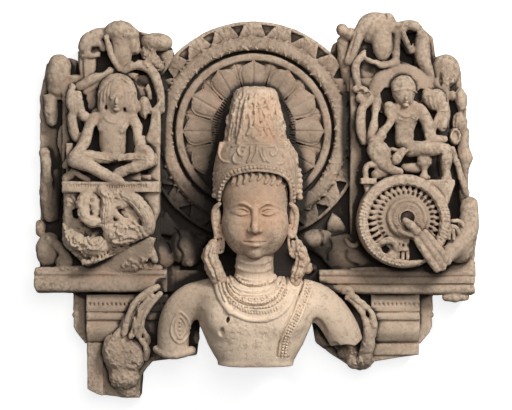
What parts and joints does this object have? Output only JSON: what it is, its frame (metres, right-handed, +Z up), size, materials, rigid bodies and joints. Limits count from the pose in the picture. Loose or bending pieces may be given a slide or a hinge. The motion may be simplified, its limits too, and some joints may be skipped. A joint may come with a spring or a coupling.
{
  "type": "stone relief panel",
  "caption": "Wall-mounted carved sandstone relief fragment: crowned bust before a lotus halo, between figure pillars on a broken cornice.",
  "frame": {"origin": "on the flat back, on the lotus halo's axis", "axes": "+X across the panel to the viewer's right, +Y into the wall, +Z up"},
  "size_m": [1.017, 0.2984, 0.8887],
  "materials": {
    "sandstone": "weathered matt, tan brown with pinkish and cream patches"
  },
  "bodies": {
    "root": {"relief_panel": "sandstone"}
  },
  "joints": []
}
